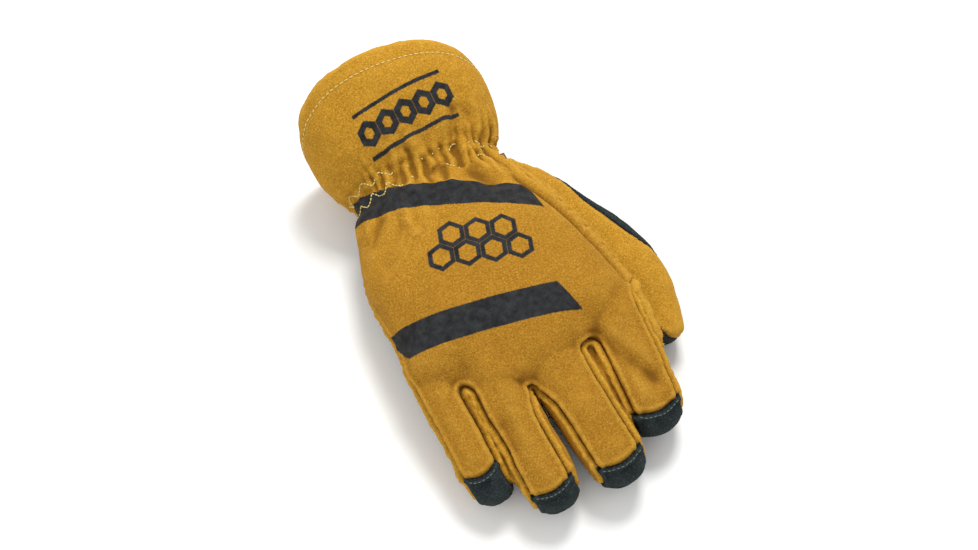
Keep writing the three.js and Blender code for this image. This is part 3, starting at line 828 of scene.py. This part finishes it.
# %% [markdown]
# ## Finishes
# Each material is named for the real one. Patterns read Object coordinates in metres, so one
# texture cell of 1 mm has a scale of 1000. The nap of suede is drawn about 1 mm coarse,
# because the real fibres are too fine to show at this distance.


# %% Colour and node helpers
def colour(hex_value):
    """An sRGB hex colour as linear red, green, blue and alpha."""
    parts = [int(hex_value[i : i + 2], 16) / 255 for i in (1, 3, 5)]
    return [c / 12.92 if c <= 0.04045 else ((c + 0.055) / 1.055) ** 2.4 for c in parts] + [1]


def add(tree, kind, inputs=None, out=0, **settings):
    """Adds a node with its settings, values and links, and returns one of its outputs."""
    node = tree.nodes.new("ShaderNode" + kind)
    for name, value in settings.items():
        setattr(node, name, value)
    for key, value in (inputs or {}).items():
        if isinstance(value, bpy.types.NodeSocket):
            tree.links.new(value, node.inputs[key])
        else:
            node.inputs[key].default_value = value
    return node.outputs[out] if len(node.outputs) else node


def new_material(name):
    made = bpy.data.materials.new(name)
    made.use_nodes = True
    made.node_tree.nodes.clear()
    return made, made.node_tree


def blended(tree, share, one, two):
    """Colour one turning into colour two by a share."""
    return add(tree, "Mix", {"Factor": share, 6: one, 7: two}, out=2, data_type="RGBA")


def grain(tree, size_mm, detail, rough):
    """Noise whose cells are about size_mm across."""
    where = add(tree, "TexCoord", out="Object")
    return add(
        tree, "TexNoise",
        {"Vector": where, "Scale": 1000 / size_mm, "Detail": detail, "Roughness": rough},
    )


def ranged(tree, value, low, high, to_low=0.0, to_high=1.0):
    return add(
        tree, "MapRange",
        {"Value": value, "From Min": low, "From Max": high, "To Min": to_low, "To Max": to_high},
    )


print("linear gold", [round(c, 3) for c in colour("#B78628")])


# %% [markdown]
# The marks printed on the back are dark ink on suede: two plain slanted bands, a patch of
# honeycomb, and a row of cells between two lines. A mark is a set of distances in the plan
# of the glove, so its edges are exact, and a little noise frays them as the nap does.


# %% Printed marks
def fields_of(tree, x, y, at_x, at_y, degrees_round):
    """Coordinates along and across a mark that is turned and placed in the plan."""
    c, n = math.cos(math.radians(degrees_round)), math.sin(math.radians(degrees_round))
    dx = add(tree, "Math", {0: x, 1: at_x}, operation="SUBTRACT")
    dy = add(tree, "Math", {0: y, 1: at_y}, operation="SUBTRACT")
    parts = []
    for p, q in ((c, n), (-n, c)):
        first = add(tree, "Math", {0: dx, 1: p}, operation="MULTIPLY")
        parts.append(add(tree, "Math", {0: dy, 1: q, 2: first}, operation="MULTIPLY_ADD"))
    return parts


def within(tree, value, half):
    """1 where a distance is under half, with a soft edge."""
    size = add(tree, "Math", {0: value}, operation="ABSOLUTE")
    return ranged(tree, size, half + 0.25, half - 0.25)


def both_of(tree, one, two, how="MULTIPLY"):
    return add(tree, "Math", {0: one, 1: two}, operation=how)


def band(tree, x, y, at_x, at_y, turn, length, width, slant):
    u, v = fields_of(tree, x, y, at_x, at_y, turn)
    u = add(tree, "Math", {0: v, 1: slant, 2: u}, operation="MULTIPLY_ADD")
    return both_of(tree, within(tree, u, length / 2), within(tree, v, width / 2))


def honeycomb_row(tree, u, v, radius, line, cells, shift_u, shift_v):
    """Outlines of a row of six-sided cells, radius to the flat side."""
    pitch = 2 * radius + line
    u = add(tree, "Math", {0: u, 1: shift_u}, operation="SUBTRACT")
    v = add(tree, "Math", {0: v, 1: shift_v}, operation="SUBTRACT")
    cell = add(tree, "Math", {0: u, 1: pitch}, operation="DIVIDE")
    cell = add(tree, "Math", {0: cell, 1: (cells - 1) / 2}, operation="ADD")
    cell = add(tree, "Math", {0: cell}, operation="ROUND")
    cell = add(tree, "Clamp", {"Value": cell, "Min": 0.0, "Max": cells - 1.0})
    cell = add(tree, "Math", {0: cell, 1: (cells - 1) / 2}, operation="SUBTRACT")
    u = add(tree, "Math", {0: cell, 1: -pitch, 2: u}, operation="MULTIPLY_ADD")
    flat_u = add(tree, "Math", {0: u}, operation="ABSOLUTE")
    flat_v = add(tree, "Math", {0: v}, operation="ABSOLUTE")
    lean = add(tree, "Math", {0: flat_u, 1: 0.5}, operation="MULTIPLY")
    lean = add(tree, "Math", {0: flat_v, 1: 0.866, 2: lean}, operation="MULTIPLY_ADD")
    size = both_of(tree, flat_u, lean, "MAXIMUM")
    size = add(tree, "Math", {0: size, 1: radius}, operation="SUBTRACT")
    return within(tree, size, line / 2)


def printed_marks(tree):
    """How much ink lies at each place, from 0 to 1."""
    where = add(tree, "TexCoord", out="Object")
    fray = add(tree, "TexNoise", {"Vector": where, "Scale": 1200, "Detail": 2}, out="Color")
    fray = add(tree, "VectorMath", {0: fray, 1: (0.5, 0.5, 0.5)}, operation="SUBTRACT")
    place = add(tree, "VectorMath", {0: where, "Scale": 1000}, operation="SCALE")
    fray = add(tree, "VectorMath", {0: fray, "Scale": 1.0}, operation="SCALE")
    place = add(tree, "VectorMath", {0: place, 1: fray}, operation="ADD")
    parts = tree.nodes.new("ShaderNodeSeparateXYZ")
    tree.links.new(place, parts.inputs[0])
    x, y = parts.outputs["X"], parts.outputs["Y"]
    marks = [
        band(tree, x, y, -4, 81, -22, 118, 16, 0.6),
        band(tree, x, y, -8, 2, -10, 98, 17, 0.6),
    ]
    u, v = fields_of(tree, x, y, 8, 42, -16)
    marks.append(honeycomb_row(tree, u, v, 6, 2.6, 4, 0, -6.3))
    marks.append(honeycomb_row(tree, u, v, 6, 2.6, 3, 0, 6.3))
    u, v = fields_of(tree, x, y, 2, 127, 6)
    for shift in (-11, 11):
        edge = add(tree, "Math", {0: v, 1: shift}, operation="SUBTRACT")
        marks.append(both_of(tree, within(tree, u, 28), within(tree, edge, 1)))
    marks.append(honeycomb_row(tree, u, v, 4.2, 3.4, 5, 0, 0))
    ink = marks[0]
    for mark in marks[1:]:
        ink = both_of(tree, ink, mark, "MAXIMUM")
    return ink


print("marks are drawn in the plan, in millimetres")


# %% [markdown]
# Suede is the split side of cowhide, brushed to a nap. It has no shine, a soft pale sheen
# where it curves away, cloudy dye, and dark specks where the fibres lie the other way.


# %% Suede and dark leather
HAND_SHADE = "#EAE5EA"


def suede(name, shades, dark, pale, printed=False, ink=("#1F2022", "#313335")):
    """Brushed split leather, matt, with cloudy dye, a 1 mm nap and painted shade in hollows."""
    made, tree = new_material(name)
    clouds = grain(tree, 24, 4, 0.55)
    base = blended(tree, ranged(tree, clouds, 0.35, 0.65), colour(shades[0]), colour(shades[1]))
    patches = grain(tree, 4.5, 4, 0.6)
    base = blended(tree, ranged(tree, patches, 0.4, 0.7, 0, 0.5), base, colour(shades[2]))
    nap = grain(tree, 0.9, 2, 0.6)
    base = blended(tree, ranged(tree, nap, 0.5, 0.3, 0, 0.5), base, colour(dark))
    base = blended(tree, ranged(tree, nap, 0.54, 0.7, 0, 0.5), base, colour(pale))
    if printed:
        where = add(tree, "SeparateXYZ", {0: add(tree, "TexCoord", out="Object")}, out="Y")
        worn = add(
            tree, "Mix", {"Factor": 1.0, 6: base, 7: colour(HAND_SHADE)}, out=2,
            data_type="RGBA", blend_type="MULTIPLY",
        )
        base = blended(tree, ranged(tree, where, 0.105, 0.02), base, worn)
    # Painted shade darkens seams, creases and finger gaps; ridges are rubbed paler, as wear.
    hollow = add(tree, "Attribute", out="Fac", attribute_name="hollow")
    base = blended(tree, ranged(tree, hollow, 0.05, 0.9, 0, 0.8), base, colour(dark))
    base = blended(tree, ranged(tree, hollow, -0.15, -0.9, 0, 0.25), base, colour(pale))
    if printed:
        inked = blended(tree, ranged(tree, patches, 0.35, 0.65), colour(ink[0]), colour(ink[1]))
        ink_share = both_of(tree, printed_marks(tree), ranged(tree, nap, 0.85, 0.65, 0.88, 1))
        base = blended(tree, ink_share, base, inked)
    height = both_of(tree, nap, grain(tree, 3.2, 3, 0.6), "ADD")
    bump = add(tree, "Bump", {"Height": height, "Strength": 0.6, "Distance": 0.45 * MM})
    shader = add(tree, "BsdfPrincipled", {
        "Base Color": base, "Normal": bump, "Roughness": 0.95, "Specular IOR Level": 0.12,
        "Sheen Weight": 0.06, "Sheen Roughness": 0.5, "Sheen Tint": colour(pale),
    })
    add(tree, "OutputMaterial", {"Surface": shader})
    return made


golds = ("#A6771F", "#AF7E23", "#B78628")
gold_printed = suede("Printed_split_cowhide_suede", golds, "#6A4510", "#DBAC46", True)
gold = suede("Split_cowhide_suede", golds, "#6A4510", "#DBAC46")
flesh = suede("Cowhide_flesh_side", ("#9A7232", "#A77E3C", "#B08846"), "#60431C", "#C4A468")
dark = suede("Black_napped_goatskin", ("#12171A", "#191F22", "#20272A"), "#07090A", "#4A5452")
print("suede materials", [m.name for m in (gold_printed, gold, flesh, dark)])


# %% [markdown]
# Spun polyester thread is matt and a little hairy, and the loop's tape is woven in ribs. Real
# twisted strands could be modelled, but at 1 mm a fine noise in colour and bump reads the same.


# %% Thread and webbing
def thread(name, shade, shadow):
    """Spun polyester sewing thread: matt, with a faint twist."""
    made, tree = new_material(name)
    base = blended(tree, grain(tree, 0.8, 2, 0.5), colour(shadow), colour(shade))
    bump = add(tree, "Bump", {"Height": grain(tree, 0.5, 2, 0.5), "Distance": 0.1 * MM})
    shader = add(tree, "BsdfPrincipled", {
        "Base Color": base, "Normal": bump, "Roughness": 0.6, "Sheen Weight": 0.2,
    })
    add(tree, "OutputMaterial", {"Surface": shader})
    return made


def woven(name, shade, shadow):
    """Woven tape, with ribs 1 mm apart across it."""
    made, tree = new_material(name)
    where = add(tree, "TexCoord", out="Object")
    ribs = add(
        tree, "TexWave", {"Vector": where, "Scale": 320, "Distortion": 0.4}, bands_direction="Y",
    )
    base = blended(tree, ribs, colour(shadow), colour(shade))
    bump = add(tree, "Bump", {"Height": ribs, "Strength": 0.6, "Distance": 0.3 * MM})
    shader = add(tree, "BsdfPrincipled", {
        "Base Color": base, "Normal": bump, "Roughness": 0.85, "Sheen Weight": 0.2,
    })
    add(tree, "OutputMaterial", {"Surface": shader})
    return made


cream_thread = thread("Cream_sewing_thread", "#E4D486", "#B89C48")
grey_thread = thread("Grey_green_sewing_thread", "#6C7A66", "#3B463E")
tape = woven("Woven_polyester_tape", "#3A3B2C", "#23241B")
print("threads and tape ready")

# %% [markdown]
# ## The pieces
# Each piece is a copy of the skin with only its own faces, thickened inwards to a leather
# wall by Solidify. Its inner face gets the flesh side of the leather.

# %% Make the pieces
finish_of = {n: gold for n in names}
finish_of["back_panel"] = gold_printed
finish_of["cuff_hem"] = flesh
for name in names:
    if name.startswith("fingertip") or name in ("palm_panel", "thumb_palm"):
        finish_of[name] = dark
pieces = {}
surface = BVHTree.FromBMesh(skin)


def show(bm, name, materials):
    """Makes a finished object of a mesh, at the origin, and rides it on the only body."""
    for f in bm.faces:
        f.smooth = True
    piece = bpy.data.objects.new(name, mesh_of(bm, name))
    for material in materials:
        piece.data.materials.append(material)
    bpy.context.collection.objects.link(piece)
    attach(piece, "root")
    return piece


for i, name in enumerate(names):
    part = skin.copy()
    others = [f for f in part.faces if f.material_index != i]
    bmesh.ops.delete(part, geom=others, context="FACES")
    for f in part.faces:
        f.material_index = 0
    piece = show(part, f"{name}_leather", [finish_of[name], flesh])
    thick = piece.modifiers.new("Leather", "SOLIDIFY")
    thick.thickness = (hem_wall if name == "cuff_hem" else wall) * MM
    thick.offset = -1
    thick.material_offset = 1
    thick.material_offset_rim = 0
    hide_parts(name)
    pieces[name] = piece
    part.free()
print("pieces", {n: len(p.data.polygons) for n, p in pieces.items()})

# %% [markdown]
# ## Stitches
# A lockstitch shows as a short thread from one needle hole to the next. Each stitch is a
# small stretched ball that stands a little out of the leather. A path is first laid on the
# surface, then divided into holes at the stitch length.


# %% Sewing
def laid(points):
    """Drops points in millimetres onto the surface, with the surface's normals."""
    found = [surface.find_nearest(Vector(p) * MM) for p in points]
    return [f[0] / MM for f in found], [f[1] for f in found]


def holes_along(points, spacing):
    """Evenly spaced points on a path."""
    points = np.array([p[:] for p in points])
    run = np.concatenate([[0], np.cumsum(np.linalg.norm(np.diff(points, axis=0), axis=1))])
    count = max(int(round(run[-1] / spacing)), 1)
    at = np.linspace(0, run[-1], count + 1)
    return np.stack([np.interp(at, run, points[:, k]) for k in range(3)], 1)


def sew(bm, holes, thick, fill=0.84, hidden=lambda spot: False):
    """Adds one stitch between each hole and the next, but none in a place that hides it."""
    spots, normals = laid(holes)
    for start, end, up in zip(spots, spots[1:], normals):
        run = end - start
        if run.length < 0.4 or hidden(start):
            continue
        side = up.cross(run).normalized()
        rise = run.cross(side).normalized()
        middle = (start + end) / 2 + rise * thick * 0.25
        middle.z = max(middle.z, thick / 2)  # the ground presses the threads under the cuff flat
        turn = Matrix((run.normalized(), side, rise)).transposed().to_4x4()
        size = Matrix.Diagonal((run.length * fill / 2 * MM, thick / 2 * MM, thick / 2 * MM, 1))
        matrix = Matrix.Translation(middle * MM) @ turn @ size
        bmesh.ops.create_uvsphere(bm, u_segments=6, v_segments=5, radius=1, matrix=matrix)


# %% Hem stitches
HEM_PITCH, HEM_THREAD = 3.3, 0.75
hem = bmesh.new()
line = [body_ring(cuff_end - HEM_STITCH, 0)[i % BODY_SIDES] for i in range(BODY_SIDES + 1)]
on_surface, _ = laid(line)
sew(hem, holes_along(on_surface, HEM_PITCH), HEM_THREAD)
show(hem, "hem_stitches", [cream_thread])
print("hem stitches", len(hem.faces), "faces")

# %% [markdown]
# Two rows of zigzag stitches hold the elastic, because a zigzag can stretch with it. Straight
# rows would be simpler but would snap. The path is laid on the smooth wrist, and each stitch
# then drops onto the gathered leather.

# %% Zigzag over the elastic
ZIGZAG_PITCH, ZIGZAG_RISE, ZIGZAG_STEPS = 12.5, 6.4, 8
ZIGZAG_THREAD, ZIGZAG_FILL = 0.85, 0.95


def in_gathers(spot):
    """The folds bury most of the thread but on the little finger's side."""
    return spot[0] > -16 and noise.noise(spot / 7) < 0.12


zigzags = bmesh.new()
for offset in (-ZIGZAG_HALF, ZIGZAG_HALF):
    ring = body_ring(wrist_y, 0)
    top_half = [p for i, p in enumerate(ring) if 4 <= i * 360 / BODY_SIDES <= 184]
    base = [p + np.array([0, offset + ELASTIC_TILT * p[0], 0]) for p in top_half]
    on_surface, _ = laid(base)
    steps = holes_along(on_surface, ZIGZAG_PITCH / ZIGZAG_STEPS)
    phase = np.abs(np.arange(len(steps)) / ZIGZAG_STEPS % 1 - 0.5) * 4 - 1
    steps[:, 1] += phase * ZIGZAG_RISE / 2
    sew(zigzags, steps, ZIGZAG_THREAD, ZIGZAG_FILL, in_gathers)
show(zigzags, "wrist_zigzag_stitches", [cream_thread])
print("zigzag stitches", len(zigzags.faces), "faces")

# %% [markdown]
# One row of finer stitches holds the dark leather of each fingertip. It follows the bowed edge
# of the suede, so it uses the same curve that cut the two pieces.

# %% Fingertip stitches
TIP_PITCH, TIP_THREAD, TIP_INSET = 2.6, 0.5, 3.4
tips = bmesh.new()
for f in fingers:
    middle, along, across, back = f.at(f.length - f.cap + TIP_INSET)
    half = cap_share * f.width / 2 * tip_taper - 1.5
    row = [
        middle + across * u + along * cap_bow(f, u) + back * f.depth / 2
        for u in np.linspace(-half, half, 30)
    ]
    on_surface, _ = laid(row)
    sew(tips, holes_along(on_surface, TIP_PITCH), TIP_THREAD)
show(tips, "fingertip_stitches", [grey_thread])
print("fingertip stitches", len(tips.faces), "faces")

# %% [markdown]
# ## Pull loop
# A short woven tape is folded double and caught in the side seam at the wrist. It starts as
# a flat strip, its edge is extruded round the fold, and Solidify gives the tape's thickness.

# %% Wrist loop
low, high = (np.array(corner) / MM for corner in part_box("wrist_loop"))
tape_thick, tucked_in = 1.2, 1
loop = bmesh.new()
radius = (high[2] - low[2]) / 2 - tape_thick / 2
mid_z = (low[2] + high[2]) / 2
profile = [(low[0] - tucked_in, radius)]
profile += [
    (high[0] - radius - tape_thick / 2 + radius * math.sin(t), radius * math.cos(t))
    for t in np.linspace(0, math.pi, 9)
]
profile.append((low[0] - tucked_in, -radius))
ends = [
    loop.verts.new((profile[0][0] * MM, y * MM, (mid_z + radius) * MM)) for y in (low[1], high[1])
]
edges = [loop.edges.new(ends)]
for x, z in profile[1:]:
    grown = bmesh.ops.extrude_edge_only(loop, edges=edges)["geom"]
    verts = [g for g in grown if isinstance(g, bmesh.types.BMVert)]
    found = [g for g in grown if isinstance(g, bmesh.types.BMEdge)]
    edges = [e for e in found if set(e.verts) <= set(verts)]
    for v in verts:
        v.co.x, v.co.z = x * MM, (mid_z + z) * MM
bmesh.ops.recalc_face_normals(loop, faces=loop.faces)
loop_piece = show(loop, "wrist_loop_tape", [tape])
thick = loop_piece.modifiers.new("Tape", "SOLIDIFY")
thick.thickness = tape_thick * MM
thick.offset = 0
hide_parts("wrist_loop")
print("loop stands out to", round(float(high[0]), 1), "mm")

# %% [markdown]
# ## Floor, light and camera
# A product photograph has a pale floor, one large soft lamp high behind the thumb, and a
# weaker one on the other side, so that the nap and seams show without hard shadows.

# %% Floor
ground = bmesh.new()
bmesh.ops.create_grid(ground, x_segments=1, y_segments=1, size=4)
floor = bpy.data.objects.new("floor", mesh_of(ground, "floor"))
bpy.context.collection.objects.link(floor)
paper, tree = new_material("White_paper")
shader = add(tree, "BsdfPrincipled", {"Base Color": colour("#F4F4F2"), "Roughness": 0.9})
add(tree, "OutputMaterial", {"Surface": shader})
floor.data.materials.append(paper)
print("floor of matt white paper")

# %% Lights
world = bpy.data.worlds.new("studio")
bpy.context.scene.world = world
world.use_nodes = True
world.node_tree.nodes["Background"].inputs["Color"].default_value = colour("#FFFFFF")
world.node_tree.nodes["Background"].inputs["Strength"].default_value = 0.7
bpy.context.scene.view_settings.view_transform = "Standard"


def lamp(name, place, aim, power_w, size):
    light = bpy.data.lights.new(name, "AREA")
    light.energy, light.size = power_w, size
    made = bpy.data.objects.new(name, light)
    made.location = place
    made.rotation_euler = (Vector(aim) - Vector(place)).to_track_quat("-Z", "Y").to_euler()
    bpy.context.collection.objects.link(made)


lamp("key", (0.45, 0.62, 1.12), (0, 0.03, 0.03), 14.5, 0.45)
lamp("fill", (-1.0, -0.4, 0.9), (0, 0.03, 0.03), 5, 1.2)
print("lamps", [made.name for made in bpy.data.lights])

# %% Camera
azimuth, elevation, distance = math.radians(-25), math.radians(65), 1.0
aim = Vector((0.008, 0.029, 0.040))
behind = Vector((
    math.sin(azimuth) * math.cos(elevation),
    -math.cos(azimuth) * math.cos(elevation),
    math.sin(elevation),
))
right = Vector((math.cos(azimuth), math.sin(azimuth), 0))
camera_data = bpy.data.cameras.new("camera")
camera_data.lens = 66
camera_data.sensor_width = 36
camera = bpy.data.objects.new("camera", camera_data)
camera.matrix_world = Matrix.Translation(aim + behind * distance) @ Matrix(
    (right, behind.cross(right), behind)
).transposed().to_4x4()
bpy.context.collection.objects.link(camera)
bpy.context.scene.camera = camera
print("camera lens", camera_data.lens, "mm")
